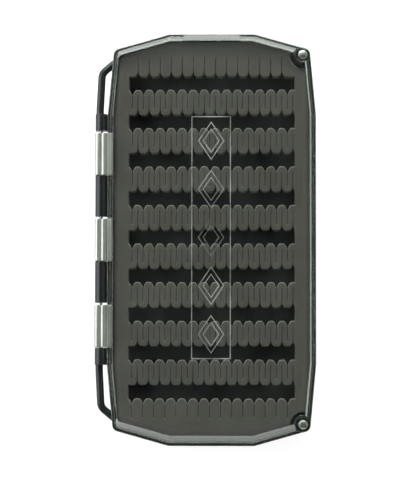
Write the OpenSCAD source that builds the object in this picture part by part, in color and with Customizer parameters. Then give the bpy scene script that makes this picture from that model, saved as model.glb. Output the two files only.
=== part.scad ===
// Fly box: a flat clear-lidded case with a slotted foam insert, a three-knuckle side
// hinge on a steel rod, lanyard loops at the hinge's ends and magnets in the two
// corners opposite the hinge.
// Frame: millimetres, +Z up, lying on its base. The origin is the middle of the base's
// underside. The hinge runs along Y at the -X side, and the lid opens upwards from +X.

/* [Case] */
// Overall length of the case along Y
case_len = 183.8; // [150:0.2:220]
// Overall width of the case along X, without the hinge
case_w = 93; // [90:0.5:110]
// Overall thickness, closed
case_h = 26; // [24:0.5:40]
// Thickness of the base's floor
floor_t = 1.8; // [1.2:0.1:3]
// Thickness of the lid's top
lid_top_t = 1.6; // [1.2:0.1:2.5]
// Wall thickness of the lid
lid_wall_t = 1.4; // [1:0.1:2]
// Height of the lid's flange
flange_h = 2.6; // [2.2:0.1:4]
// Gap between the closed lid's flange and the base's rim
lid_gap = 0.15; // [0.1:0.05:0.4]

/* [Hinge] */
// Outer radius of the base's hinge knuckles
knuckle_r = 2.6; // [2.2:0.1:2.6]
// Radius of the steel hinge rod
rod_r = 0.8; // [0.6:0.1:1.2]
// Length of each metal knuckle on the lid
leaf_len = 18.9; // [12:0.1:24]
// Distance from one metal knuckle's middle to the next
leaf_pitch = 38.4; // [32:0.2:42]
// Half the length of the hinge's knuckle row
hinge_half = 56; // [54:0.5:60]

/* [Foam] */
// Thickness of the slotted foam sheet
foam_t = 8; // [5:0.5:10]
// Thickness of the backing sheet under it
backing_t = 2; // [1:0.5:3]
// Number of rows of fly openings
row_count = 9; // [1:1:9]
// Distance from one opening to the next along Y
row_pitch = 17.25; // [14:0.25:18]
// Width of an opening between facing tabs
slot_w = 5.9; // [4:0.1:8]
// Length of an opening along X
slot_len = 74.2; // [40:0.2:76]
// How far the rows sit towards +Y from the middle
row_shift = 1.1; // [-2:0.1:2]
// Distance from one tab to the next along X
tab_pitch = 4.95; // [4:0.05:6]
// Depth of the notch between two tabs
notch_d = 2.3; // [1:0.1:3]

/* [Magnets] */
// Radius of the magnets
magnet_r = 2.1; // [1.5:0.1:2.2]
// Height of the magnets
magnet_h = 2.2; // [1.5:0.1:2.4]

/* [Hidden] */

$fn = 96;
eps = 0.01;

// Outline
half_w = case_w / 2;
half_l = case_len / 2;
end_half = 19;                     // half the level stretch of each end
corner_in = 2.7;                   // corner, from the case's widest stretch
corner_drop = 7;                   // corner, from the case's end
side_drop = 36.4;                  // end of the straight stretch of each side, from the case's end
edge_r = 3;                        // rounding of the outline's corners
base_r = 2.5;                      // of the base's wall and the gasket
cavity_r = 2;                      // of the cavity and what lies in it
// Base
parting_z = case_h / 2;            // top of the base's rim, and the height of the hinge axis
rim_h = 2.6;                       // height of the base's flange
base_in = 1.2;                     // top of the base's wall, from the flange's edge
base_lean = 0.5;                   // how far the wall leans in towards its foot
base_edge = 0.8;                   // height of the cut-off edge round the base's foot
rim_side = 2.4;                    // width of the rim along the sides
rim_end = 3;                       // and at the ends
cavity_lean = 0.25;                // how far the cavity narrows towards the floor
boss_r = 4.7;                      // corner boss under a magnet
gasket_w = 1;
gasket_out = 0.6;                  // from the rim's edge to the gasket
gasket_proud = 0.1;
gasket_bend_r = magnet_r + 0.8;    // gasket's outer edge around a magnet
groove_d = 1;
// Foam
foam_z = floor_t + backing_t;
foam_in = cavity_lean + 0.1;       // foam's edge, from the rim's inner edge
foam_notch_r = boss_r + 0.8;       // foam cut away around a boss
tab_count = floor(slot_len / tab_pitch) - 1;
first_low = -slot_len / 2 + 1.25;  // first notch in an opening's lower edge
first_high = first_low + tab_pitch / 2;
slot_corner = 1.5;                 // slanting cut at an opening's corners
// Lid
lid_z = parting_z + lid_gap;       // underside of the lid's flange
flange_z = lid_z + flange_h;       // top of the lid's flange
wall_foot = 1.5;                   // foot of the lid's wall, from the flange's edge
side_lean = 1.4;                   // how far the lid's side walls lean in
end_lean = 3.1;                    // and its end walls
panel_half = 12.8;                 // half the width of the raised panel in the +Y end wall
panel_foot_out = 0.8;              // how far that panel's foot stands out from the wall's
panel_top_out = 0.25;              // and its top
top_edge = 0.5;                    // cut-off edge round the lid's top
bevel_drop = 0.6;                  // drop of the flange's bevel in front of that panel
notch_r = 4.05;                    // round step in the lid's corner around a magnet
notch_turn = 107;                  // angle from +X at which that step meets the end wall
notch_slant = 4;                   // and the slant at which it meets the side wall
grip_w = 1.25;                     // raised grip along the opening side
grip_h = 0.7;
magnet_x = half_w - 5.9;
magnet_y = half_l - 9.5;
magnet_sunk = 0.05;                // base magnets' faces below the rim
magnet_proud = 0.3;                // lid magnets' edge above the flange
dome_h = 0.6;                      // and their domed faces above that
dome_r = 4.6;
// Hinge
hinge_x = -half_w - 2.9;           // hinge axis
web_h = 4;                         // web between the hinge row and the base's wall
web_top = -0.2;                    // its top, from the hinge axis
web_reach = 4.2;                   // from the hinge axis into that wall
web_in = 0.1;                      // its outer face, from the knuckles' outer edge
bar_r = 1.7;                       // lanyard loop's bar
loop_start_x = -0.75;              // the bar's start, bend and root, from the hinge axis
loop_bend_x = 0.1;
loop_root_x = 6.4;
loop_bend_y = 17.2;                // its bend and root, from the case's end
loop_root_y = 12;
loop_overlap = 2;                  // the bar's start, inside the hinge row
bar_z = parting_z - rod_r - 0.3 - bar_r;
leaf_play = 1.2;                   // room along the hinge that a metal knuckle leaves
leaf_clear = 0.5;                  // room around it
leaf_room_in = 2.2;                // and from the hinge axis towards the case
leaf_shift = -0.4;                 // from the middle of that room to the knuckle's middle
barrel_r = knuckle_r + 0.15;       // metal knuckle
rod_play = 0.05;                   // between its bore and the rod
groove_w = 1.5;                    // side of the V groove along it
groove_out = 0.2;                  // the groove's middle, beyond the barrel
tongue_reach = 4.5;                // from the hinge axis to the end of its plate
tongue_t = 1.2;                    // plate inside the lid's flange
tongue_z = lid_z + 0.6;

// ---- outline of the case -------------------------------------------------------

// Corners of the right half, top to bottom
function right_corners() = [
    [end_half, half_l], [half_w - corner_in, half_l - corner_drop], [half_w, half_l - side_drop],
    [half_w, side_drop - half_l], [half_w - corner_in, corner_drop - half_l], [end_half, -half_l]
];
// All twelve corners, clockwise from above
function corners() = concat(
    right_corners(),
    [for (i = [5 : -1 : 0]) [-right_corners()[i][0], right_corners()[i][1]]]
);
// Edge i runs from corner i to corner i + 1: five to a side, the ends being 0, 4 to 6, 10, 11
function is_end(i) = i == 0 || i == 4 || i == 5 || i == 6 || i == 10 || i == 11;
function unit(v) = v / norm(v);
// Inward normal of the edge from a to b, for a clockwise outline
function inward(a, b) = let (d = unit(b - a)) [d[1], -d[0]];
// Point where the lines n1.p = c1 and n2.p = c2 cross
function crossing(n1, c1, n2, c2) = let (det = n1[0] * n2[1] - n1[1] * n2[0])
    [(c1 * n2[1] - c2 * n1[1]) / det, (n1[0] * c2 - n2[0] * c1) / det];
// The outline moved inwards by side along the long sides and by end along the ends
function inset(side, end) = let (p = corners(), n = len(p))
    [for (i = [0 : n - 1])
        let (
            h = (i + n - 1) % n,
            n1 = inward(p[h], p[i]),
            n2 = inward(p[i], p[(i + 1) % n]),
            d1 = is_end(h) ? end : side,
            d2 = is_end(i) ? end : side
        )
        crossing(n1, n1 * p[i] + d1, n2, n2 * p[i] + d2)];
// Round a convex clockwise outline's corners to radius r, in steps arcs
function rounded(p, r, steps) = let (n = len(p))
    [for (i = [0 : n - 1])
        let (
            u = unit(p[(i + n - 1) % n] - p[i]),
            v = unit(p[(i + 1) % n] - p[i]),
            half = acos(u * v) / 2,
            centre = p[i] + unit(u + v) * r / sin(half),
            start = atan2(-inward(p[(i + n - 1) % n], p[i])[1], -inward(p[(i + n - 1) % n], p[i])[0]),
            turn = 180 - 2 * half
        )
        for (k = [0 : steps]) centre + r * [cos(start - turn * k / steps), sin(start - turn * k / steps)]];

// A plate of the case's outline, moved in, from z0 to z1
module plate(side, end, z0, z1, r = edge_r) {
    translate([0, 0, z0])
        linear_extrude(height = z1 - z0)
            polygon(rounded(inset(side, end), r, 5));
}

module at_magnets(z) {
    for (y = [-magnet_y, magnet_y])
        translate([magnet_x, y, z]) children();
}

// ---- base ----------------------------------------------------------------------

module base_outer() {
    wall = base_in + base_lean;
    foot = wall + base_edge;
    rim_z = parting_z - rim_h;
    hull() {
        plate(foot, foot, 0, eps, base_r);
        plate(wall, wall, base_edge, base_edge + eps, base_r);
        plate(base_in, base_in, rim_z - eps, rim_z, base_r);
    }
    plate(0, 0, rim_z, parting_z);
}

module base_cavity() {
    hull() {
        plate(rim_side + cavity_lean, rim_end + cavity_lean, floor_t, floor_t + eps, cavity_r);
        plate(rim_side, rim_end, parting_z + eps, parting_z + 2 * eps, cavity_r);
    }
}

// Round bar from p to q
module bar(p, q) {
    run = q - p;
    translate(p)
        rotate([0, 90, atan2(run[1], run[0])]) cylinder(r = bar_r, h = norm(run));
}

// Loop for a lanyard: a bar that leaves the hinge row and bends back into the wall
module lanyard_loop() {
    start = [hinge_x + loop_start_x, hinge_half - loop_overlap, bar_z];
    bend = [hinge_x + loop_bend_x, half_l - loop_bend_y, bar_z];
    root = [hinge_x + loop_root_x, half_l - loop_root_y, bar_z];
    bar(start, bend);
    bar(bend, root);
    translate(bend) sphere(r = bar_r + 0.05);
}

module hinge_row() {
    translate([hinge_x, 0, parting_z]) {
        rotate([90, 0, 0]) cylinder(r = knuckle_r, h = 2 * hinge_half, center = true);
        translate([web_in - knuckle_r, -hinge_half, web_top - web_h])
            cube([knuckle_r + web_reach, 2 * hinge_half, web_h]);
    }
}

// Room for one metal knuckle to turn in
module leaf_room() {
    room = leaf_len + leaf_play;
    out = 2 * knuckle_r;
    rotate([90, 0, 0])
        cylinder(r = knuckle_r + leaf_clear, h = room, center = true);
    translate([-out, -room / 2, -out])
        cube([out + leaf_room_in, room, 2 * out]);
}

module base_tray() {
    color([0.12, 0.14, 0.14])
    difference() {
        union() {
            base_outer();
            hinge_row();
            lanyard_loop();
            mirror([0, 1, 0]) lanyard_loop();
        }
        difference() {
            base_cavity();
            at_magnets(0) cylinder(r = boss_r, h = case_h);
        }
        gasket_ring(parting_z - groove_d, parting_z + 1);
        at_magnets(parting_z - magnet_h - magnet_sunk) cylinder(r = magnet_r, h = magnet_h + 1);
        for (y = [-leaf_pitch, 0, leaf_pitch])
            translate([hinge_x, y, parting_z]) leaf_room();
        translate([hinge_x, 0, parting_z]) rotate([90, 0, 0])
            cylinder(r = rod_r, h = 2 * hinge_half + 2, center = true);
    }
}

// A ring that follows the rim and steps inwards around the magnets
module gasket_ring(z0, z1) {
    inner = gasket_out + gasket_w;
    difference() {
        plate(gasket_out, gasket_out, z0, z1, base_r);
        magnet_corner(gasket_bend_r, z0 - 1, z1 + 1);
        difference() {
            plate(inner, inner, z0 - 1, z1 + 1, cavity_r);
            magnet_corner(gasket_bend_r + gasket_w, z0 - 2, z1 + 2);
        }
    }
}

// A cylinder around each magnet that opens out to the case's corner
module magnet_corner(r, z0, z1) {
    past = 5;
    at_magnets(z0) cylinder(r = r, h = z1 - z0);
    for (side = [-1, 1])
        translate([magnet_x, side * magnet_y, z0])
            linear_extrude(height = z1 - z0)
                polygon([
                    r * [cos(notch_turn), side * sin(notch_turn)],
                    [r, side * past], [past, side * past], [past, 0],
                    r * [cos(notch_slant), -side * sin(notch_slant)]
                ]);
}

module rim_gasket() {
    color([0.05, 0.05, 0.05])
        gasket_ring(parting_z - groove_d, parting_z + gasket_proud);
}

module hinge_rod() {
    color("silver")
    translate([hinge_x, 0, parting_z]) rotate([90, 0, 0])
        cylinder(r = rod_r, h = 2 * hinge_half - 1, center = true);
}

module base_magnet(y) {
    color("silver")
    translate([magnet_x, y, parting_z - magnet_h - magnet_sunk])
        cylinder(r = magnet_r, h = magnet_h);
}

// ---- foam ----------------------------------------------------------------------

// Foam sheet without its openings
module foam_sheet(z0, z1) {
    difference() {
        plate(rim_side + foam_in, rim_end + foam_in, z0, z1, cavity_r);
        at_magnets(z0 - 1) cylinder(r = foam_notch_r, h = z1 - z0 + 2);
    }
}

// Outline of one tab with cut-off corners: from a notch's bottom to its tip and on
function tab_points(x, tip, dir) = let (drop = 0.9, side = 0.6, flat = 1.3)
    [
        [x, tip - dir * notch_d],
        [x + side, tip - dir * drop], [x + flat, tip],
        [x + tab_pitch - flat, tip], [x + tab_pitch - side, tip - dir * drop]
    ];
// Lower edge of an opening, left to right: tabs point up into it
function lower_edge(first) = [for (k = [0 : tab_count - 1])
    each tab_points(first + k * tab_pitch, -slot_w / 2, 1)];
// Upper edge, half a tab out of step, tabs pointing down
function upper_edge(first) = [for (k = [0 : tab_count - 1])
    each tab_points(first + k * tab_pitch, slot_w / 2, -1)];
function reversed(p) = [for (i = [len(p) - 1 : -1 : 0]) p[i]];

// One opening, with notched edges
module foam_opening() {
    last_low = first_low + tab_count * tab_pitch;
    low = concat(
        lower_edge(first_low),
        [[last_low, -slot_w / 2 - notch_d], [last_low + slot_corner, -slot_w / 2]]
    );
    high = concat(
        [[first_high - slot_corner, slot_w / 2]],
        upper_edge(first_high),
        [[first_high + tab_count * tab_pitch, slot_w / 2 + notch_d]]
    );
    polygon(concat(
        [[-slot_len / 2, -slot_w / 2 + slot_corner]], low, [[slot_len / 2, -slot_w / 2]],
        [[slot_len / 2, slot_w / 2 - slot_corner]], reversed(high), [[-slot_len / 2, slot_w / 2]]
    ));
}

module foam_insert() {
    color([0.3, 0.31, 0.29])
    difference() {
        foam_sheet(foam_z, foam_z + foam_t);
        for (i = [0 : row_count - 1])
            translate([0, (i - (row_count - 1) / 2) * row_pitch + row_shift, foam_z - 1])
                linear_extrude(height = foam_t + 2) foam_opening();
    }
}

module foam_backing() {
    color([0.06, 0.06, 0.07])
        foam_sheet(floor_t, foam_z);
}

// ---- lid -----------------------------------------------------------------------

// Rounding of the raised part's corners, where grow is the distance in from its outside
function dome_corner(grow) = edge_r - 0.4 - grow / 2;

// Raised part of the lid: grow is 0 for its outside and the wall's thickness for its inside
module lid_dome(grow, top) {
    foot = wall_foot + grow;
    r = dome_corner(grow);
    hull() {
        plate(foot, foot, flange_z - eps, flange_z, r);
        plate(foot + side_lean, foot + end_lean, top - top_edge, top - top_edge + eps, r);
        plate(foot + side_lean + top_edge, foot + end_lean + top_edge, top - eps, top, r);
    }
}

// Raised panel in the middle of the +Y end wall
module end_panel(grow, top) {
    half = panel_half - grow;
    foot = half_l - wall_foot + panel_foot_out - grow;
    shoulder = half_l - wall_foot - end_lean + panel_top_out - grow;
    reaches = [foot, shoulder, shoulder - top_edge];
    heights = [flange_z - eps, top - top_edge, top - eps];
    hull()
        for (i = [0 : 2])
            translate([-half, 0, heights[i]]) cube([2 * half, reaches[i], eps]);
}

// Bevel of the flange in front of the panel, as a cutter
module end_bevel() {
    rotate([90, 0, 90])
        linear_extrude(height = 2 * panel_half, center = true)
            polygon([
                [half_l - wall_foot + panel_foot_out, flange_z + eps], [half_l + 1, flange_z + eps],
                [half_l + 1, flange_z - bevel_drop], [half_l, flange_z - bevel_drop]
            ]);
}

module lid_outside() {
    difference() {
        plate(0, 0, lid_z, flange_z);
        end_bevel();
    }
    difference() {
        union() {
            lid_dome(0, case_h);
            end_panel(0, case_h);
        }
        magnet_corner(notch_r, flange_z, case_h + 1);
    }
}

module lid_inside() {
    foot = wall_foot + lid_wall_t;
    difference() {
        union() {
            plate(foot, foot, lid_z - 1, flange_z, dome_corner(lid_wall_t));
            lid_dome(lid_wall_t, case_h - lid_top_t);
            end_panel(lid_wall_t, case_h - lid_top_t);
        }
        magnet_corner(notch_r + lid_wall_t, lid_z - 2, case_h);
    }
}

// Raised grip along the opening side
module grip_ridge() {
    grip_half = half_l - side_drop;
    translate([half_w - grip_w, -grip_half, flange_z - eps])
        cube([grip_w, 2 * grip_half, grip_h]);
}

module lid_shell() {
    color([0.55, 0.6, 0.57, 0.35])
    difference() {
        union() {
            lid_outside();
            grip_ridge();
        }
        lid_inside();
        at_magnets(flange_z + magnet_proud - magnet_h) cylinder(r = magnet_r, h = case_h);
        for (y = [-leaf_pitch, 0, leaf_pitch])
            translate([0, y + leaf_shift, 0]) tongue();
    }
}

// Plate of a metal knuckle, held in the lid's flange
module tongue() {
    translate([hinge_x + 1, -leaf_len / 2 + 1, tongue_z])
        cube([tongue_reach - 1, leaf_len - 2, tongue_t]);
}

// Metal knuckle: a barrel with a groove along its top, and the plate
module hinge_knuckle(y) {
    color([0.8, 0.82, 0.78])
    translate([0, y + leaf_shift, 0])
    difference() {
        union() {
            translate([hinge_x, 0, parting_z]) rotate([90, 0, 0])
                cylinder(r = barrel_r, h = leaf_len, center = true);
            tongue();
        }
        translate([hinge_x, 0, parting_z]) rotate([90, 0, 0])
            cylinder(r = rod_r + rod_play, h = leaf_len + 2, center = true);
        for (side = [-1, 1])
            translate([hinge_x, 0, parting_z + side * (barrel_r + groove_out)]) rotate([0, 45, 0])
                cube([groove_w, leaf_len + 2, groove_w], center = true);
    }
}

// Magnet with a domed face, seen from above in the lid's corner
module lid_magnet(y) {
    h = magnet_h + dome_h;
    color("silver")
    translate([magnet_x, y, flange_z + magnet_proud - magnet_h])
        intersection() {
            cylinder(r = magnet_r, h = h);
            translate([0, 0, h - dome_r]) sphere(r = dome_r);
        }
}

base_tray();
rim_gasket();
hinge_rod();
foam_backing();
foam_insert();
base_magnet(magnet_y);  // base_magnet_upper
base_magnet(-magnet_y);  // base_magnet_lower
lid_shell();
hinge_knuckle(leaf_pitch);  // hinge_knuckle_upper
hinge_knuckle(0);  // hinge_knuckle_middle
hinge_knuckle(-leaf_pitch);  // hinge_knuckle_lower
lid_magnet(magnet_y);  // lid_magnet_upper
lid_magnet(-magnet_y);  // lid_magnet_lower
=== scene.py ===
"""Looks of a closed fly box: clear lid over slotted foam, side hinge, lanyard loops and magnets.

Shapes are made in millimetres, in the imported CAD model's frame, and scaled to metres at the end.
"""

import math
import random

import bmesh
import bpy
from mathutils import Matrix, Vector


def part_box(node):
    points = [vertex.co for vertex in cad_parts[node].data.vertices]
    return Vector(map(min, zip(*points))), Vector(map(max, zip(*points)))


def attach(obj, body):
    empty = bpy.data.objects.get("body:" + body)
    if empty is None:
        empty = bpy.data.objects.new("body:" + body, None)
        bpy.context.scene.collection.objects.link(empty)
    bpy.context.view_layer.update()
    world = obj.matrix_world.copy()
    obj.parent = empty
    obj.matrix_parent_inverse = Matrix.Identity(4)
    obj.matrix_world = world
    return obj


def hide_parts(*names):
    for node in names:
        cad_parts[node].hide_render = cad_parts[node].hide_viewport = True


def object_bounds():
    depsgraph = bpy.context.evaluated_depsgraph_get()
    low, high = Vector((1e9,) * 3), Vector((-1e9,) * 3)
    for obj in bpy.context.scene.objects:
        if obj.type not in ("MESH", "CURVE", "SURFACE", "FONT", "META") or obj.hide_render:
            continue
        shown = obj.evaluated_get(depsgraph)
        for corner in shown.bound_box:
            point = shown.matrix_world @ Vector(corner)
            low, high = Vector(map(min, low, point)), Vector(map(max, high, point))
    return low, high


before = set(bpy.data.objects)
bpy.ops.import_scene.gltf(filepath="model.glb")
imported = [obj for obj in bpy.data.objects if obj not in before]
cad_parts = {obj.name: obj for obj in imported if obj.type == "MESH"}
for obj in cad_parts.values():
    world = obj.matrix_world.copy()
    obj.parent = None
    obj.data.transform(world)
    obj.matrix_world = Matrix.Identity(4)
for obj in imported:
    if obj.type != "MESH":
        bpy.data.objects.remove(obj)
cad_low, cad_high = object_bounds()

MM = 0.001

# ---- sizes, in millimetres, some from the CAD nodes' boxes, the rest given ---------------------


def box_mm(node):
    """Lowest and highest corner of a CAD node in millimetres."""
    low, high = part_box(node)
    return Vector(low) / MM, Vector(high) / MM


lid_low, lid_high = box_mm("lid_shell")
foam_low, foam_high = box_mm("foam_insert")
backing_low, backing_high = box_mm("foam_backing")
gasket_low, gasket_high = box_mm("rim_gasket")
rod_low, rod_high = box_mm("hinge_rod")
magnet_low, magnet_high = box_mm("lid_magnet_upper")

HALF_W = lid_high.x
HALF_L = lid_high.y
END_HALF = 19.0                           # half the level stretch of each end
CORNER_IN, CORNER_DROP = 2.7, 7.0         # corner, from the case's side and end
SIDE_DROP = 36.4                          # end of a side's straight stretch, from the case's end
CASE_H = lid_high.z
RIM_Z = (rod_low.z + rod_high.z) / 2      # top of the base's rim and height of the hinge axis
HINGE_X = (rod_low.x + rod_high.x) / 2
ROD_R = (rod_high.z - rod_low.z) / 2
FLOOR_T = backing_low.z
LID_Z = lid_low.z                         # underside of the lid's flange
FLANGE_Z = LID_Z + 2.6                    # top of it
LID_TOP_T = 1.6                           # thickness of the lid's top
LID_WALL_T = 1.4                          # and of its walls
BASE_FLANGE_H = 2.6                       # height of the base's rim
MAGNET = (magnet_low + magnet_high) / 2
MAGNET_R = (magnet_high.x - magnet_low.x) / 2
NOTCH_R = 4.05                            # step in the lid's corner round a magnet
COLLAR_R = 3.1                            # bead on the lid's flange round a magnet
BOSS_R = 4.7                              # base's boss under a magnet
FOAM_NOTCH_R = BOSS_R + 0.8
RIM_SIDE, RIM_END = 2.4, 3.0              # width of the base's rim along the sides and at the ends
CAVITY_LEAN = 0.25                        # how far the base's cavity narrows towards the floor
FOAM_INSET_SIDE, FOAM_INSET_END = 2.75, 3.35  # foam's edge, from the case's sides and ends
GROOVE_OUT, GROOVE_IN = 0.6, 1.6          # gasket groove's edges, from the rim's edge
BEND_OUT, BEND_IN = 0.8, 1.8              # and from a magnet, where the groove bends round it
GROOVE_D = 1.0                            # its depth
PANEL_HALF = 12.8                         # half the width of the raised panel in the +Y end wall
PANEL_SHOULDER = 0.97                     # share of that width that stands out in full
WALL_FOOT = 1.5                           # foot of the lid's wall, from the flange's edge
SIDE_LEAN, END_LEAN = 1.4, 3.1            # how far the lid's walls lean in
PANEL_FOOT_OUT, PANEL_TOP_OUT = 0.8, 0.25  # how far that panel stands out from the end wall
BEVEL_DROP = 0.6                          # drop of the flange's bevel in front of the panel

KNUCKLE_R = 2.6                           # base's knuckles
LEAF_LEN = 18.9                           # length of a metal knuckle
LEAF_PITCH = 38.4                         # from one metal knuckle to the next
LEAF_PLAY = 1.2                           # room along the rod between metal and plastic
LEAF_SHIFT = -0.4                         # metal knuckles' place in that room
HINGE_HALF = 56.0                         # half the hinge row's length
BORE_PLAY = 0.05                          # room round the rod in a metal knuckle
BAR_R = 1.7                               # lanyard loop's bar

ROWS = 9                                  # openings in the foam
ROW_PITCH = 17.25
ROW_SHIFT = 1.1                           # middle row, from the case's middle
SLOT_W, SLOT_LEN = 5.9, 74.2              # an opening, from tab to tab and along X
TAB_PITCH = 4.95
NOTCH_D = 2.35                            # depth of the notch between two tabs
SLIT_LEN, SLIT_W = 8.7, 0.16              # cut between two tabs
FIRST_LOW, FIRST_HIGH = 1.6, 4.1          # first notch below and above, from the opening's left
FOAM_SLOPE = CORNER_DROP / (HALF_W - CORNER_IN - END_HALF)  # fall of the ends' slanted stretches

AXIS_R = 0.02                             # small radius that stands for the axis of a turned shape
ROUND_STEPS = 32                          # sides of a small round section

# ---- outline of the case ------------------------------------------------------------------------

END_EDGES = {0, 4, 5, 6, 10, 11}          # edges that count as an end, by their first corner
MAGNET_CORNERS = {1: 1, 4: -1}            # corner beside a magnet, and the sign of the magnet's Y
ROUND_CORNERS = {1, 4, 7, 10}
END_MIDDLES = {5: -1, 11: 1}              # corner before an end's middle, and the sign of its Y


def case_corners():
    """The twelve corners, clockwise from above, starting at the right of the +Y end."""
    half = [
        (END_HALF, HALF_L), (HALF_W - CORNER_IN, HALF_L - CORNER_DROP),
        (HALF_W, HALF_L - SIDE_DROP),
    ]
    right = half + [(x, -y) for x, y in reversed(half)]
    return [Vector(p) for p in right] + [Vector((-x, y)) for x, y in reversed(right)]


def inset_corners(side, end):
    """The corners after the long sides move in by side and the ends by end."""
    corners = case_corners()
    count = len(corners)
    lines = []
    for i in range(count):
        along = (corners[(i + 1) % count] - corners[i]).normalized()
        inward = Vector((along.y, -along.x))
        lines.append((inward, inward.dot(corners[i]) + (end if i in END_EDGES else side)))
    moved = []
    for i in range(count):
        (n1, c1), (n2, c2) = lines[i - 1], lines[i]
        det = n1.x * n2.y - n1.y * n2.x
        moved.append(Vector(((c1 * n2.y - c2 * n1.y) / det, (n1.x * c2 - n2.x * c1) / det)))
    return moved


def convex_arc(before, corner, after, radius, steps):
    """Points of a rounded corner, clockwise."""
    u, v = (before - corner).normalized(), (after - corner).normalized()
    half = math.acos(max(-1.0, min(1.0, u.dot(v)))) / 2
    centre = corner + (u + v).normalized() * radius / math.sin(half)
    outward = Vector((u.y, -u.x))
    start = math.atan2(outward.y, outward.x)
    turn = math.pi - 2 * half
    angles = [start - turn * k / steps for k in range(steps + 1)]
    return [centre + radius * Vector((math.cos(a), math.sin(a))) for a in angles]


def circle_crossing(centre, radius, start, end):
    """Where the line from start to end leaves the circle, on the end's side."""
    along = (end - start).normalized()
    foot = start + along * (centre - start).dot(along)
    reach = max(radius ** 2 - (foot - centre).length_squared, 0.0)
    return foot + along * math.sqrt(reach)


def notch_arc(before, corner, after, centre, radius, steps):
    """Points of a corner that is cut back round a magnet."""
    first = circle_crossing(centre, radius, corner, before) - centre
    last = circle_crossing(centre, radius, corner, after) - centre
    a0, a1 = math.atan2(first.y, first.x), math.atan2(last.y, last.x)
    while a1 < a0:
        a1 += 2 * math.pi
    angles = [a0 + (a1 - a0) * k / steps for k in range(steps + 1)]
    return [centre + radius * Vector((math.cos(a), math.sin(a))) for a in angles]


def ring(side, end, z, corner=3.0, step=0.0, notch=0.0, drop=0.0):
    """One closed loop of the case's outline at height z, always with the same number of points.

    step moves the panel in the middle of the +Y end outwards and drop lowers it; notch is the
    radius cut round each magnet.
    """
    corners = inset_corners(side, end)
    points = []
    for i, corner_point in enumerate(corners):
        before, after = corners[i - 1], corners[(i + 1) % len(corners)]
        steps = 16 if i in ROUND_CORNERS else 4
        if i in MAGNET_CORNERS and notch:
            centre = Vector((MAGNET.x, MAGNET.y * MAGNET_CORNERS[i]))
            arc = notch_arc(before, corner_point, after, centre, notch, steps)
        else:
            arc = convex_arc(before, corner_point, after, corner, steps)
        points += [(p.x, p.y, z) for p in arc]
        if i in END_MIDDLES:
            way = END_MIDDLES[i]
            full = int(way > 0)
            for x, out in ((-1, 0), (-PANEL_SHOULDER, full), (PANEL_SHOULDER, full), (1, 0)):
                points.append((way * x * PANEL_HALF, corner_point.y + out * step, z - out * drop))
    return points


# ---- mesh helpers -------------------------------------------------------------------------------


def loft(bm, rings, closed=False):
    """Quads between rings of equal length; closed joins the last to the first, else both get caps.

    Gives the faces back in one list for each pair of rings, then the first cap and the last.
    """
    loops = [[bm.verts.new(p) for p in points] for points in rings]
    count = len(loops[0])
    pairs = list(zip(loops, loops[1:]))
    if closed:
        pairs.append((loops[-1], loops[0]))
    bands = []
    for a, b in pairs:
        bands.append([
            bm.faces.new((a[k], a[k + 1 - count], b[k + 1 - count], b[k])) for k in range(count)])
    if not closed:
        bands.append([bm.faces.new(loops[0][::-1])])
        bands.append([bm.faces.new(loops[-1])])
    return bands


def finish_piece(name, mesh, body, slot, material, replaces=(), sharp=40, second=None):
    """An object of a mesh in metres, riding on body; second is for the faces with index 1."""
    for polygon in mesh.polygons:
        polygon.use_smooth = True
    mesh.set_sharp_from_angle(angle=math.radians(sharp))
    for one in (material, second):
        if one:
            mesh.materials.append(one)
    piece = bpy.data.objects.new(name, mesh)
    bpy.context.scene.collection.objects.link(piece)
    normals = piece.modifiers.new("face_weighted_normals", "WEIGHTED_NORMAL")
    normals.keep_sharp = True
    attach(piece, body)
    if replaces:
        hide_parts(*replaces)
    return piece


def mesh_piece(name, bm, *args, **words):
    """A piece from a bmesh in millimetres."""
    bmesh.ops.remove_doubles(bm, verts=bm.verts, dist=1e-5)
    bmesh.ops.recalc_face_normals(bm, faces=bm.faces)
    mesh = bpy.data.meshes.new(name)
    bm.to_mesh(mesh)
    bm.free()
    mesh.transform(Matrix.Scale(MM, 4))
    return finish_piece(name, mesh, *args, **words)


def curve_mesh(name, outlines, thickness, bevel, place):
    """A mesh, in metres, of a flat shape with holes, made thick with rounded edges, at place."""
    curve = bpy.data.curves.new(name, "CURVE")
    curve.dimensions = "2D"
    curve.fill_mode = "BOTH"
    curve.bevel_depth = bevel
    curve.bevel_resolution = 2
    curve.offset = -bevel
    curve.extrude = thickness / 2 - bevel
    for outline in outlines:
        spline = curve.splines.new("POLY")
        spline.points.add(len(outline) - 1)
        for point, (x, y) in zip(spline.points, outline):
            point.co = (x, y, 0, 1)
        spline.use_cyclic_u = True
    maker = bpy.data.objects.new(name + "_curve", curve)
    bpy.context.scene.collection.objects.link(maker)
    depsgraph = bpy.context.evaluated_depsgraph_get()
    mesh = bpy.data.meshes.new_from_object(maker.evaluated_get(depsgraph))
    bpy.data.objects.remove(maker)
    bpy.data.curves.remove(curve)
    bm = bmesh.new()
    bm.from_mesh(mesh)
    bmesh.ops.remove_doubles(bm, verts=bm.verts, dist=1e-4)
    bmesh.ops.recalc_face_normals(bm, faces=bm.faces)
    bm.to_mesh(mesh)
    bm.free()
    mesh.transform(Matrix.Scale(MM, 4) @ place)
    mesh.materials.clear()
    mesh.name = name
    return mesh


def circle(x, y, radius, segments):
    """Points of a circle."""
    turn = 2 * math.pi / segments
    return [
        (x + radius * math.cos(k * turn), y + radius * math.sin(k * turn)) for k in range(segments)]


def lathe(bm, profile, segments=64):
    """Turn a profile of (radius, z) round Z; its first and last ring are capped."""
    loft(bm, [[(x, y, z) for x, y in circle(0, 0, radius, segments)] for radius, z in profile])


# ---- materials ----------------------------------------------------------------------------------


def set_range(node, *numbers):
    """Sets a Map Range node's from and to ends."""
    for socket, number in zip(("From Min", "From Max", "To Min", "To Max"), numbers):
        node.inputs[socket].default_value = number


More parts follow.
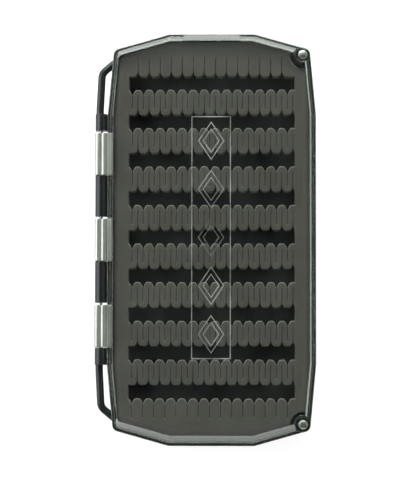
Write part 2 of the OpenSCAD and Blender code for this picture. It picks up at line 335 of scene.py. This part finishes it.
class Nodes:
    """A new material's node tree, with short ways to add and link nodes."""

    def __init__(self, name):
        self.material = bpy.data.materials.new(name)
        self.material.use_nodes = True
        self.tree = self.material.node_tree
        self.tree.nodes.clear()
        self.output = self.tree.nodes.new("ShaderNodeOutputMaterial")
        self.coordinates = self.add("ShaderNodeTexCoord").outputs["Object"]

    def add(self, kind, settings=None, **inputs):
        """A node with properties from settings and sockets from inputs (spaces written as _)."""
        node = self.tree.nodes.new(kind)
        for key, value in (settings or {}).items():
            setattr(node, key, value)
        for key, value in inputs.items():
            socket = node.inputs[key.replace("_", " ")]
            if isinstance(value, bpy.types.NodeSocket):
                self.tree.links.new(value, socket)
            else:
                socket.default_value = value
        return node

    def noise(self, scale, detail=4.0, stretch=(1, 1, 1)):
        """A noise value whose pattern is scale cells to the metre, stretched along the axes."""
        spread = self.add("ShaderNodeMapping", Vector=self.coordinates, Scale=stretch)
        return self.add(
            "ShaderNodeTexNoise", Vector=spread.outputs[0], Scale=scale, Detail=detail,
            Roughness=0.6).outputs[0]

    def ramp(self, value, low, high, start=0.3, end=0.7):
        """value from start to end mapped to low to high."""
        node = self.add("ShaderNodeMapRange", Value=value)
        set_range(node, start, end, low, high)
        return node.outputs[0]

    def colours(self, value, first, second, start=0.3, end=0.7):
        """A colour between first and second as value goes from start to end."""
        node = self.add("ShaderNodeValToRGB", Fac=value)
        node.color_ramp.elements[0].position = start
        node.color_ramp.elements[1].position = end
        node.color_ramp.elements[0].color = (*first, 1)
        node.color_ramp.elements[1].color = (*second, 1)
        return node.outputs[0]

    def math(self, operation, first, second=0.0):
        """The outcome of a maths operation on two values."""
        node = self.add("ShaderNodeMath", {"operation": operation})
        for socket, value in zip(node.inputs, (first, second)):
            if isinstance(value, bpy.types.NodeSocket):
                self.tree.links.new(value, socket)
            else:
                socket.default_value = value
        return node.outputs[0]

    def bump(self, height, strength, distance):
        """A normal from a height, in metres of distance."""
        return self.add(
            "ShaderNodeBump", Height=height, Strength=strength, Distance=distance).outputs[0]

    def mix(self, share, first, second):
        """A mix shader: first where share is 0, second where it is 1."""
        node = self.add("ShaderNodeMixShader", Fac=share)
        self.tree.links.new(first.outputs[0], node.inputs[1])
        self.tree.links.new(second.outputs[0], node.inputs[2])
        return node

    def done(self, shader):
        """Link the shader to the output and give the material back."""
        self.tree.links.new(shader, self.output.inputs["Surface"])
        return self.material


def moulded_black():
    """Black moulded plastic with a fine spark texture."""
    n = Nodes("moulded_black")
    cloud = n.noise(90, 3)
    grain = n.noise(3200, 2)
    shader = n.add(
        "ShaderNodeBsdfPrincipled",
        Base_Color=n.colours(cloud, (0.004, 0.006, 0.007), (0.008, 0.011, 0.012)),
        Roughness=n.ramp(grain, 0.24, 0.32),
        Normal=n.bump(grain, 0.15, 0.00003),
        Specular_IOR_Level=0.3,
    )
    return n.done(shader.outputs[0])


def smoke_clear(name, tint, glance, haze=0.006):
    """Clear, lightly smoked plastic: see-through face on, a mirror of strength glance edge on."""
    face_on = 0.04
    n = Nodes(name)
    weight = n.add("ShaderNodeLayerWeight", Blend=0.5)
    steep = n.math("POWER", weight.outputs["Facing"], 5.0)
    clear = n.add("ShaderNodeBsdfTransparent", Color=(*tint, 1))
    milk = n.add("ShaderNodeBsdfDiffuse", Color=(0.75, 0.8, 0.76, 1))
    body = n.mix(n.ramp(n.noise(60, 4), 0.0, haze), clear, milk)
    gloss = n.add(
        "ShaderNodeBsdfGlossy", Color=(0.95, 1.0, 0.96, 1),
        Roughness=n.ramp(n.noise(400, 3), 0.06, 0.1))
    mirror = n.ramp(steep, glance * face_on, glance, 0.0, 1.0)
    return n.done(n.mix(mirror, body, gloss).outputs[0])


def border_shade(n):
    """Painted shade standing in for the lid walls' shadow: 1 over most of the foam, falling towards
    the case's walls, most of all at the +Y end.
    """
    side_width, back_width, front_width = 2.4, 8, 4.5
    place = n.add("ShaderNodeSeparateXYZ", Vector=n.coordinates)
    across, along = n.math("ABSOLUTE", place.outputs["X"]), place.outputs["Y"]
    past = n.math("MAXIMUM", n.math("SUBTRACT", across, END_HALF * MM), 0.0)
    fall = n.math("MULTIPLY", past, FOAM_SLOPE)
    reach_x, reach_y = (HALF_W - FOAM_INSET_SIDE) * MM, (HALF_L - FOAM_INSET_END) * MM
    side = n.ramp(across, 1.0, 0.35, reach_x - side_width * MM, reach_x)
    back = n.ramp(n.math("ADD", along, fall), 1.0, 0.22, reach_y - back_width * MM, reach_y)
    front = n.ramp(
        n.math("SUBTRACT", along, fall), 0.45, 1.0, -reach_y, -reach_y + front_width * MM)
    return n.math("MULTIPLY", n.math("MULTIPLY", side, back), front)


def closed_cell_foam(name, dark, light, painted_wall_shade=False, pored=True):
    """Dense foam, slightly cloudy, optionally with painted shade near the case's walls; pored shows
    its cells.
    """
    n = Nodes(name)
    colour = n.colours(n.noise(55, 4), dark, light)
    # painted shade: the foam's colour darkens towards the walls, where the lid's walls would shade
    # it
    if painted_wall_shade:
        colour = n.add(
            "ShaderNodeVectorMath", {"operation": "SCALE"}, Vector=colour,
            Scale=border_shade(n)).outputs[0]
    fine = n.noise(2400, 3)
    if pored:
        cells = n.add("ShaderNodeTexVoronoi", Vector=n.coordinates, Scale=2600)
        normal = n.bump(cells.outputs["Distance"], 0.35, 0.00012)
    else:
        normal = n.bump(fine, 0.5, 0.0001)
    shader = n.add(
        "ShaderNodeBsdfPrincipled",
        Base_Color=colour,
        Roughness=n.ramp(fine, 0.78, 0.95),
        Normal=normal,
        Sheen_Weight=0.15,
        Sheen_Roughness=0.5,
    )
    return n.done(shader.outputs[0])


def brushed_metal(name, colour, roughness, stretch):
    """Metal with a fine lengthwise grain."""
    n = Nodes(name)
    grain = n.noise(900, 5, stretch)
    cloud = n.noise(140, 3)
    shader = n.add(
        "ShaderNodeBsdfPrincipled",
        Base_Color=n.colours(cloud, [c * 0.86 for c in colour], colour),
        Metallic=1.0,
        Roughness=n.ramp(grain, roughness, roughness + 0.16),
        Normal=n.bump(grain, 0.12, 0.00003),
    )
    return n.done(shader.outputs[0])


def gasket_rubber():
    """Matt black rubber."""
    n = Nodes("gasket_rubber")
    grain = n.noise(1500, 3)
    shader = n.add(
        "ShaderNodeBsdfPrincipled",
        Base_Color=n.colours(grain, (0.010, 0.010, 0.010), (0.02, 0.02, 0.021)),
        Roughness=n.ramp(grain, 0.6, 0.8),
        Normal=n.bump(grain, 0.3, 0.00005),
    )
    return n.done(shader.outputs[0])


def pale_floor():
    """Evenly lit white studio table."""
    n = Nodes("pale_floor")
    cloud = n.noise(6, 2)
    shader = n.add(
        "ShaderNodeBsdfPrincipled",
        Base_Color=n.colours(cloud, (0.24, 0.24, 0.24), (0.26, 0.26, 0.26)),
        Roughness=0.9,
        Emission_Color=(1, 1, 1, 1),
        Emission_Strength=0.85,
    )
    return n.done(shader.outputs[0])


black = moulded_black()
clear = smoke_clear("smoke_clear", (0.88, 0.9, 0.875), 0.95)
clear_inside = smoke_clear("smoke_clear_inside", (0.93, 0.94, 0.93), 0.02)
frosted = smoke_clear("smoke_frosted", (0.88, 0.9, 0.875), 0.6, 0.2)
# grey_foam carries painted shade near the case's walls (border_shade)
grey_foam = closed_cell_foam("grey_foam", (0.042, 0.039, 0.035), (0.055, 0.051, 0.046), True)
# lighter foam for the openings' bevels that face +Y: a painted highlight of the back light on those
# edges
painted_highlight_foam = closed_cell_foam("painted_highlight_foam", (0.15, 0.145, 0.13), (0.19, 0.185, 0.165))
dark_foam = closed_cell_foam(
    "backing_foam", (0.003, 0.004, 0.005), (0.006, 0.007, 0.008), pored=False)
steel = brushed_metal("brushed_steel", (0.36, 0.38, 0.345), 0.33, (1, 0.04, 1))
nickel = brushed_metal("nickel", (0.26, 0.275, 0.24), 0.3, (1, 1, 1))
rubber = gasket_rubber()

# ---- base ---------------------------------------------------------------------------------------


def base_shell():
    """Base tray: floor, leaning walls, rim with its gasket groove, bosses under the magnets.

    The rings go from the middle of the floor up the cavity, across the rim and its groove, down the
    outside and in under the tray.
    """
    top, under, groove = RIM_Z, RIM_Z - BASE_FLANGE_H, RIM_Z - GROOVE_D
    cavity_side, cavity_end = RIM_SIDE + CAVITY_LEAN, RIM_END + CAVITY_LEAN
    bend_in, bend_out = MAGNET_R + BEND_IN, MAGNET_R + BEND_OUT
    rings = [
        ring(RIM_SIDE + 1.5, RIM_END + 1.5, FLOOR_T, 1.5, notch=BOSS_R + 0.9),
        ring(cavity_side + 0.1, cavity_end + 0.1, FLOOR_T + 0.05, 2, notch=BOSS_R + 0.2),
        ring(cavity_side, cavity_end, FLOOR_T + 0.2, 2, notch=BOSS_R),
        ring(RIM_SIDE, RIM_END, top - 0.25, 2.2, notch=BOSS_R),
        ring(RIM_SIDE - 0.2, RIM_END - 0.2, top, 2.4, notch=BOSS_R - 0.2),
        ring(GROOVE_IN, GROOVE_IN, top, 2.2, notch=bend_in),
        ring(GROOVE_IN, GROOVE_IN, groove, 2.2, notch=bend_in),
        ring(GROOVE_OUT, GROOVE_OUT, groove, 2.6, notch=bend_out),
        ring(GROOVE_OUT, GROOVE_OUT, top, 2.6, notch=bend_out),
        ring(0.3, 0.3, top, 2.8),
        ring(0.09, 0.09, top - 0.09, 2.95),
        ring(0.0, 0.0, top - 0.3),
        ring(0.0, 0.0, under + 0.3),
        ring(0.1, 0.1, under + 0.08, 2.95),
        ring(0.35, 0.35, under, 2.8),
        ring(0.9, 0.9, under, 2.8),
        ring(1.15, 1.15, under - 0.1, 2.8),
        ring(1.25, 1.25, under - 0.4, 2.8),
        ring(1.75, 1.75, 1.0, 2.6),
        ring(1.9, 1.9, 0.4, 2.6),
        ring(2.3, 2.3, 0.09, 2.5),
        ring(2.8, 2.8, 0.0, 2.4),
        ring(4.0, 4.0, 0.0, 2.2),
    ]
    bm = bmesh.new()
    loft(bm, rings)
    mesh_piece("base_shell", bm, "base", "black_plastic", black, replaces=("base_tray",))


def hinge_outline():
    """Section of the base's hinge row seen along Y: the knuckle's round and the web to the wall."""
    web_drop, web_top_drop, web_reach, fillet = 4.2, 0.3, 4.4, 1.2
    foot_z, web_z = RIM_Z - web_drop, RIM_Z - web_top_drop
    left = HINGE_X - KNUCKLE_R
    arc = [math.radians(a) for a in range(0, 181, 6)]
    points = [(HINGE_X + KNUCKLE_R * math.cos(a), RIM_Z + KNUCKLE_R * math.sin(a)) for a in arc]
    for a in range(180, 271, 15):
        t = math.radians(a)
        points.append((
            left + fillet + fillet * math.cos(t), foot_z + fillet + fillet * math.sin(t)))
    return points + [
        (HINGE_X + web_reach, foot_z), (HINGE_X + web_reach, web_z), (HINGE_X + KNUCKLE_R, web_z)]


def along_y(middle):
    """Matrix that stands a flat shape drawn in XZ at its middle along Y."""
    return Matrix.Translation((0, middle, 0)) @ Matrix.Rotation(math.radians(90), 4, "X")


def hinge_row():
    """The base's four knuckles between and beside the metal ones."""
    room = (LEAF_LEN + LEAF_PLAY) / 2
    gaps = [-LEAF_PITCH, 0.0, LEAF_PITCH]
    starts = [-HINGE_HALF] + [g + room for g in gaps]
    ends = [g - room for g in gaps] + [HINGE_HALF]
    names = ["lower_end", "lower", "upper", "upper_end"]
    outlines = [hinge_outline(), circle(HINGE_X, RIM_Z, ROD_R, ROUND_STEPS)]
    for end_name, start, end in zip(names, starts, ends):
        name = "base_knuckle_" + end_name
        mesh = curve_mesh(name, outlines, end - start, 0.22, along_y((start + end) / 2))
        finish_piece(name, mesh, "base", "black_plastic", black, replaces=("base_tray",))


def rounded_path(points, radius, steps=8):
    """Corners of a path replaced by short arcs."""
    out = [points[0]]
    for a, b, c in zip(points, points[1:], points[2:]):
        u, v = (a - b).normalized(), (c - b).normalized()
        p, q = b + u * radius, b + v * radius
        for k in range(steps + 1):
            t = k / steps
            out.append(p * (1 - t) ** 2 + b * 2 * t * (1 - t) + q * t ** 2)
    return out + [points[-1]]


def lanyard_loop(name, way):
    """Bar of a lanyard loop, at the end of the hinge row on side way."""
    bend = 2.2
    z = RIM_Z - ROD_R - 0.3 - BAR_R
    corners = [
        (-0.75, HINGE_HALF - 3), (-0.75, HINGE_HALF + 2), (0.1, HALF_L - 17.2), (6.4, HALF_L - 12)]
    path = rounded_path([Vector((HINGE_X + x, way * y, z)) for x, y in corners], bend)
    rings = []
    for i, point in enumerate(path):
        along = (path[min(i + 1, len(path) - 1)] - path[max(i - 1, 0)]).normalized()
        side = Vector((along.y, -along.x, 0))
        section = circle(0, 0, BAR_R, ROUND_STEPS)
        rings.append([point + side * across + Vector((0, 0, up)) for across, up in section])
    bm = bmesh.new()
    loft(bm, rings)
    mesh_piece(name, bm, "base", "black_plastic", black, replaces=("base_tray",))


def gasket():
    """Rubber cord in the rim's groove, with a rounded top."""
    play = 0.05
    low, top = gasket_low.z, gasket_high.z
    out, inn = GROOVE_OUT + play, GROOVE_IN - play
    r_out, r_in = MAGNET_R + BEND_OUT + play, MAGNET_R + BEND_IN - play
    bm = bmesh.new()
    loft(bm, [
        ring(out, out, low, 2.5, notch=r_out),
        ring(out, out, top - 0.45, 2.5, notch=r_out),
        ring(out + 0.12, out + 0.12, top - 0.12, 2.4, notch=r_out + 0.12),
        ring(out + 0.4, out + 0.4, top, 2.3, notch=r_out + 0.4),
        ring(inn - 0.4, inn - 0.4, top, 2.2, notch=r_in - 0.4),
        ring(inn - 0.12, inn - 0.12, top - 0.12, 2.1, notch=r_in - 0.12),
        ring(inn, inn, top - 0.45, 2.0, notch=r_in),
        ring(inn, inn, low, 2.0, notch=r_in),
    ], closed=True)
    mesh_piece("rim_seal", bm, "base", "gasket_rubber", rubber, replaces=("rim_gasket",))


def magnets():
    """Discs: two domed ones in the lid's flange and two flat ones flush in the base's rim."""
    chamfer, dome_h = 0.15, 0.62
    shoulder = magnet_high.z - magnet_low.z - dome_h
    domed = [
        (AXIS_R, 0), (MAGNET_R - chamfer, 0), (MAGNET_R, chamfer), (MAGNET_R, shoulder - 0.12)]
    for a in range(9, 91, 9):
        t = math.radians(a)
        domed.append((max(MAGNET_R * math.cos(t), AXIS_R), shoulder + dome_h * math.sin(t)))
    flat = [
        (AXIS_R, 0), (MAGNET_R, 0), (MAGNET_R, 2.1), (MAGNET_R - 0.06, 2.2), (MAGNET_R - 0.2, 2.24),
        (MAGNET_R - 0.45, 2.24), (MAGNET_R - 0.6, 2.18), (AXIS_R, 2.18),
    ]
    base_z = box_mm("base_magnet_upper")[0].z
    for name, way in (("upper", 1), ("lower", -1)):
        for body, profile, z in (("lid", domed, magnet_low.z), ("base", flat, base_z)):
            bm = bmesh.new()
            lathe(bm, profile)
            bmesh.ops.translate(bm, verts=bm.verts, vec=(MAGNET.x, way * MAGNET.y, z))
            mesh_piece(
                f"{body}_magnet_disc_{name}", bm, body, "magnet_nickel", nickel,
                replaces=(f"{body}_magnet_{name}",))


# ---- foam ---------------------------------------------------------------------------------------


def tip_curve(tapered):
    """Half a notch from its bottom to a tab's tip, as (distance from its middle, depth) points."""
    if tapered:
        control = [(0.08, NOTCH_D), (0.65, 1.4), (1.05, 0.0), (1.85, 0.0)]
    else:
        control = [(0.08, NOTCH_D), (0.35, 1.25), (0.6, 0.05), (1.75, 0.0)]
    points = []
    for k in range(9):
        t = k / 8
        weights = ((1 - t) ** 3, 3 * t * (1 - t) ** 2, 3 * t ** 2 * (1 - t), t ** 3)
        points.append(tuple(sum(w * c[axis] for w, c in zip(weights, control)) for axis in (0, 1)))
    return points


def foam_edge_y(x):
    """Y of the foam sheet's +Y end at x: level in the middle, then falling towards the corners."""
    return HALF_L - FOAM_INSET_END - FOAM_SLOPE * max(abs(x) - END_HALF, 0)


def tab_row(count, first, tip_y, dice, tapered):
    """One edge of an opening as (x, depth) points, depth 0 at the tabs' tips.

    It has count notches, each with a slit that stays border short of the foam's end.
    """
    border = 1.4
    half_notch = tip_curve(tapered)
    points = []
    for k in range(count):
        x = first + k * TAB_PITCH + dice.uniform(-0.06, 0.06)
        slit = min(SLIT_LEN + dice.uniform(-0.25, 0.15), foam_edge_y(x) - border - tip_y)
        lean = dice.uniform(-0.1, 0.1)
        left_tip, right_tip = dice.uniform(-0.1, 0.1), dice.uniform(-0.1, 0.1)
        half_way = (NOTCH_D + slit) / 2
        left, right = x - SLIT_W / 2, x + SLIT_W / 2
        for d, depth in half_notch[::-1]:
            points.append((x - d, depth + left_tip * (1 - depth / NOTCH_D)))
        points += [
            (left + lean * 0.5, half_way), (left + lean, slit),
            (right + lean, slit), (right + lean * 0.5, half_way),
        ]
        for d, depth in half_notch:
            points.append((x + d, depth + right_tip * (1 - depth / NOTCH_D)))
    return points


def opening(y, dice, last):
    """Outline of one opening centred at height y: tabs point up from below and down from above.

    The last opening's top edge ends in a wide tab at the right, the others' in a notch.
    """
    half_l, half_w, near_end = SLOT_LEN / 2, SLOT_W / 2, 0.1
    low = tab_row(15, FIRST_LOW - half_l, half_w - y, dice, True)
    high = tab_row(14 if last else 15, FIRST_HIGH - half_l, half_w + y, dice, False)
    low = [(-half_l, -half_w)] + [(x, -half_w - d) for x, d in low if x > -half_l + near_end]
    low += [(half_l, -half_w)]
    high = [(-half_l, half_w)] + [(x, half_w + d) for x, d in high if x < half_l - near_end]
    high += [(half_l, half_w - near_end)]
    return [(x, y + d) for x, d in low + high[::-1]]


def foam_sheet(name, outlines, low, high, bevel):
    """Mesh of a foam sheet between the heights low and high."""
    place = Matrix.Translation((0, 0, (high + low) / 2))
    return curve_mesh(name, outlines, high - low, bevel, place)


def foam_parts():
    """The slotted foam sheet and the dark backing under it."""
    dice = random.Random(11)
    middle = (ROWS - 1) / 2
    holes = [
        opening((i - middle) * ROW_PITCH + ROW_SHIFT, dice, i == ROWS - 1) for i in range(ROWS)]
    edge = [p[:2] for p in ring(FOAM_INSET_SIDE, FOAM_INSET_END, 0, 2, notch=FOAM_NOTCH_R)]
    mesh = foam_sheet("slotted_foam", [edge] + holes, foam_low.z, foam_high.z, 0.35)
    # bevels inside the openings that face +Y take the lighter foam, a painted highlight from the
    # back light
    for polygon in mesh.polygons:
        inside = abs(polygon.center.x) < (SLOT_LEN / 2 + 1) * MM
        bevelled = 0.15 < polygon.normal.z < 0.99
        polygon.material_index = int(inside and bevelled and polygon.normal.y > 0.12)
    insert = finish_piece(
        "slotted_foam", mesh, "base", "grey_foam", grey_foam, replaces=("foam_insert",),
        second=painted_highlight_foam)
    mesh = foam_sheet("foam_floor", [edge], backing_low.z, backing_high.z, 0.3)
    floor = finish_piece(
        "foam_floor", mesh, "base", "backing_foam", dark_foam, replaces=("foam_backing",))


# ---- lid ----------------------------------------------------------------------------------------


def clear_piece(name, bm, material, **words):
    """A piece of the lid's clear plastic."""
    mesh_piece(name, bm, "lid", "smoke_plastic", material, replaces=("lid_shell",), **words)


def lid_cover():
    """Clear lid: flange, leaning walls stepped in round the magnets, a raised end panel, flat top.

    The rings go from the middle of the ceiling down the inside, round the flange and up to the top.
    The bands of the inside take the duller clear material.
    """
    inside_bands = 8
    inner_top = CASE_H - LID_TOP_T
    foot = WALL_FOOT + LID_WALL_T
    notch = NOTCH_R + LID_WALL_T
    fillet, cove, edge = 0.9, 0.2, 0.45
    lean_side, lean_end = WALL_FOOT + SIDE_LEAN, WALL_FOOT + END_LEAN
    rings = [ring(
        foot + SIDE_LEAN + 1.6, foot + END_LEAN + 1.8, inner_top, 1, PANEL_TOP_OUT, notch + 1.6)]
    for turn in (90, 72, 54, 36, 18, 0):
        reach = fillet * (1 - math.cos(math.radians(turn)))
        fall = fillet * (1 - math.sin(math.radians(turn)))
        rings.append(ring(
            foot + SIDE_LEAN + reach, foot + END_LEAN + reach, inner_top - fall, 1.4,
            PANEL_TOP_OUT, notch + reach))
    rings += [
        ring(foot, foot, FLANGE_Z, 1.8, 0, notch),
        ring(foot, foot, LID_Z + 0.15, 1.8, 0, notch),
        ring(foot - 0.15, foot - 0.15, LID_Z, 1.9, 0, notch - 0.15),
        ring(0.3, 0.3, LID_Z, 2.8),
        ring(0.08, 0.08, LID_Z + 0.09, 2.95),
        ring(0.0, 0.0, LID_Z + 0.3),
        ring(0.0, 0.0, FLANGE_Z - 0.45, drop=BEVEL_DROP),
        ring(0.06, 0.06, FLANGE_Z - 0.22, 2.95, drop=BEVEL_DROP * 0.9),
        ring(0.22, 0.22, FLANGE_Z - 0.06, 2.9, drop=BEVEL_DROP * 0.7),
        ring(0.45, 0.45, FLANGE_Z, 2.8, drop=BEVEL_DROP * 0.4),
        ring(0.5, 0.5, FLANGE_Z, 2.8, drop=BEVEL_DROP * 0.35),
    ]
    for turn in (0, 30, 60, 80):
        reach = cove * math.sin(math.radians(turn)) - cove
        rise = cove * (1 - math.cos(math.radians(turn)))
        rings.append(ring(
            WALL_FOOT + reach, WALL_FOOT + reach, FLANGE_Z + rise, 2.6, PANEL_FOOT_OUT,
            NOTCH_R + reach))
    for turn in (0, 22, 45, 68, 90):
        reach = edge * (1 - math.cos(math.radians(turn)))
        rise = edge * (1 - math.sin(math.radians(turn)))
        rings.append(ring(
            lean_side + reach, lean_end + reach, CASE_H - rise, 2.2, PANEL_TOP_OUT,
            NOTCH_R + reach))
    rings.append(ring(lean_side + 1.2, lean_end + 1.2, CASE_H, 1.8, PANEL_TOP_OUT, NOTCH_R + 1.2))
    bm = bmesh.new()
    bands = loft(bm, rings)
    for band in bands[:inside_bands]:
        for face in band:
            face.material_index = 1
    clear_piece("lid_cover", bm, clear, second=clear_inside)


def magnet_collars():
    """Low rounded beads on the flange round the lid's magnets."""
    profile = [(-0.4, -0.05), (-0.36, 0.3), (-0.15, 0.5), (0.15, 0.5), (0.36, 0.3), (0.4, -0.05)]
    for name, way in (("upper", 1), ("lower", -1)):
        rings = []
        for out, up in profile:
            bead = circle(MAGNET.x, way * MAGNET.y, COLLAR_R + out, 64)
            rings.append([(x, y, FLANGE_Z + up) for x, y in bead])
        bm = bmesh.new()
        loft(bm, rings, closed=True)
        clear_piece("magnet_collar_" + name, bm, clear)


def grip_ridge():
    """Low ridge on the flange along the opening side, tapered at its ends."""
    half = HALF_L - SIDE_DROP
    profile = [
        (-1.25, -0.1), (-1.2, 0.45), (-1.0, 0.65), (-0.7, 0.7), (-0.35, 0.66), (-0.08, 0.4),
        (0.0, 0.0), (0, -0.1),
    ]
    start = [(-half, 0.3), (-half + 0.5, 0.9), (-half + 1.2, 1)]
    rings = []
    for y, shrink in start + [(-y, shrink) for y, shrink in reversed(start)]:
        rings.append([(HALF_W + x, y, FLANGE_Z + z * shrink) for x, z in profile])
    bm = bmesh.new()
    loft(bm, rings)
    clear_piece("lid_grip_ridge", bm, clear)


def raised_line(points, width, height, z, bm):
    """A low raised line round a closed outline of points."""
    profile = [(-0.5, -0.05), (-0.42, 0.8), (-0.15, 1), (0.15, 1), (0.42, 0.8), (0.5, -0.05)]
    centre = sum((Vector(p) for p in points), Vector((0, 0))) / len(points)
    rings = []
    for out, up in profile:
        loop = []
        for i, point in enumerate(points):
            p = Vector(point)
            e1 = (p - Vector(points[i - 1])).normalized()
            e2 = (Vector(points[(i + 1) % len(points)]) - p).normalized()
            n1, n2 = Vector((e1.y, -e1.x)), Vector((e2.y, -e2.x))
            mitre = (n1 + n2) / (1 + n1.dot(n2))
            if mitre.dot(p - centre) < 0:
                mitre.negate()
            q = p + mitre * out * width
            loop.append((q.x, q.y, z + up * height))
        rings.append(loop)
    loft(bm, rings, closed=True)


def lid_ornament():
    """Plain raised frame with a row of lozenges on the lid's top."""
    half_w, half_l, count = 8.5, 53.4, 5
    lozenge_w, lozenge_l = 5.6, 8.2
    bm = bmesh.new()
    frame_line = [(-half_w, -half_l), (half_w, -half_l), (half_w, half_l), (-half_w, half_l)]
    raised_line(frame_line, 0.45, 0.18, CASE_H, bm)
    pitch = 2 * half_l / count
    for i in range(count):
        y = (i - (count - 1) / 2) * pitch
        for reach in (1.0, 0.62):
            a, b = lozenge_w * reach, lozenge_l * reach
            raised_line([(-a, y), (0, y - b), (a, y), (0, y + b)], 0.4, 0.16, CASE_H, bm)
    clear_piece("lid_ornament", bm, frosted)


def leaf_outline():
    """Section of a metal knuckle: two lobes, a valley above and below them, and its plate."""
    lobe, lobe_out, lobe_up = 1.45, 1.3, 0.95
    plate_low, plate_high, plate_reach = LID_Z + 0.6 - RIM_Z, LID_Z + 1.8 - RIM_Z, 4.5
    arcs = ((1, 1, 25, 150), (-1, 1, 38, 181), (-1, -1, 180, 323), (1, -1, 218, 361))
    points = []
    for side, up, start, stop in arcs:
        for a in range(start, stop, 8):
            t = math.radians(a)
            points.append((
                side * lobe_out + lobe * math.cos(t), up * lobe_up + lobe * math.sin(t)))
    points += [
        (lobe_out + lobe, plate_low), (plate_reach, plate_low), (plate_reach, plate_high),
        (lobe_out + lobe, plate_high),
    ]
    return [(HINGE_X + x, RIM_Z + z) for x, z in points]


def metal_knuckles():
    """The three metal knuckles that join the lid to the hinge rod."""
    outlines = [leaf_outline(), circle(HINGE_X, RIM_Z, ROD_R + BORE_PLAY, ROUND_STEPS)]
    for place, y in (("upper", LEAF_PITCH), ("middle", 0.0), ("lower", -LEAF_PITCH)):
        name = "metal_knuckle_" + place
        mesh = curve_mesh(name, outlines, LEAF_LEN, 0.28, along_y(y + LEAF_SHIFT))
        finish_piece(
            name, mesh, "lid", "steel", steel, replaces=("hinge_knuckle_" + place,), sharp=50)


# ---- light, floor and camera --------------------------------------------------------------------


def stage():
    """Pale floor under the box."""
    bm = bmesh.new()
    bmesh.ops.create_grid(bm, x_segments=8, y_segments=8, size=3.0)
    mesh = bpy.data.meshes.new("studio_floor")
    bm.to_mesh(mesh)
    bm.free()
    mesh.materials.append(pale_floor())
    floor = bpy.data.objects.new("studio_floor", mesh)
    floor.location = (0, 0, cad_low.z - 0.2 * MM)
    bpy.context.scene.collection.objects.link(floor)


def area_light(name, place, size, power):
    """Soft light at place, looking at the box."""
    data = bpy.data.lights.new(name, "AREA")
    data.shape = "RECTANGLE"
    data.size, data.size_y = size
    data.energy = power
    light = bpy.data.objects.new(name, data)
    light.location = place
    light.rotation_mode = "QUATERNION"
    light.rotation_quaternion = (-Vector(place)).to_track_quat("-Z", "Y")
    bpy.context.scene.collection.objects.link(light)


def sky(nodes, links, background):
    """World light: bright at the horizon behind and to the left, dim elsewhere and overhead."""
    direction = nodes.new("ShaderNodeTexCoord").outputs["Generated"]
    split = nodes.new("ShaderNodeSeparateXYZ")
    links.new(direction, split.inputs[0])
    height = nodes.new("ShaderNodeMapRange")
    links.new(split.outputs["Z"], height.inputs["Value"])
    side = nodes.new("ShaderNodeVectorMath")
    side.operation = "DOT_PRODUCT"
    links.new(direction, side.inputs[0])
    side.inputs[1].default_value = (-0.7, 0.7, 0)
    around = nodes.new("ShaderNodeMapRange")
    links.new(side.outputs["Value"], around.inputs["Value"])
    set_range(height, 0.35, 0.85, 1.0, 0.02)
    set_range(around, -0.9, 0.9, 0.25, 1.0)
    product = nodes.new("ShaderNodeMath")
    product.operation = "MULTIPLY"
    links.new(height.outputs[0], product.inputs[0])
    links.new(around.outputs[0], product.inputs[1])
    links.new(product.outputs[0], background.inputs["Color"])


def lighting():
    """Soft studio light, strongest from the +Y end and the left."""
    world = bpy.data.worlds.new("studio")
    world.use_nodes = True
    background = world.node_tree.nodes["Background"]
    background.inputs["Strength"].default_value = 0.8
    sky(world.node_tree.nodes, world.node_tree.links, background)
    bpy.context.scene.world = world
    area_light("back_softbox", (-0.2, 1.15, 0.95), (1.6, 0.9), 50)
    area_light("left_softbox", (-1.2, 0.2, 0.8), (0.8, 1.4), 16)
    area_light("right_softbox", (1.2, 0.1, 0.8), (0.8, 1.4), 4)
    area_light("front_softbox", (0.1, -1.2, 0.9), (1.4, 0.7), 8)


def camera():
    """Long lens above the box, a little towards -Y and +X of it, as the photo's parallax shows."""
    lens, sensor, frame_height = 185.0, 36.0, 0.2128
    height = frame_height * lens / sensor
    target = Vector((-0.0016, -0.0002, 0.014))
    eye = Vector((0.021, -0.0645, 1.0)) * height
    data = bpy.data.cameras.new("camera")
    data.lens = lens
    data.clip_start, data.clip_end = 0.05, 20
    shot = bpy.data.objects.new("camera", data)
    back = eye.normalized()
    up = back.cross(Vector((1, 0, 0))).normalized()
    turn = Matrix((up.cross(back), up, back)).transposed()
    shot.matrix_world = Matrix.Translation(target + eye) @ turn.to_4x4()
    bpy.context.scene.collection.objects.link(shot)
    bpy.context.scene.camera = shot


# ---- assembly -----------------------------------------------------------------------------------

base_shell()
hinge_row()
lanyard_loop("lanyard_bar_upper", 1)
lanyard_loop("lanyard_bar_lower", -1)
gasket()
magnets()
foam_parts()
lid_cover()
magnet_collars()
grip_ridge()
lid_ornament()
metal_knuckles()
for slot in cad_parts["hinge_rod"].material_slots:
    slot.material = steel

stage()
lighting()
camera()
bpy.context.scene.view_settings.view_transform = "Standard"
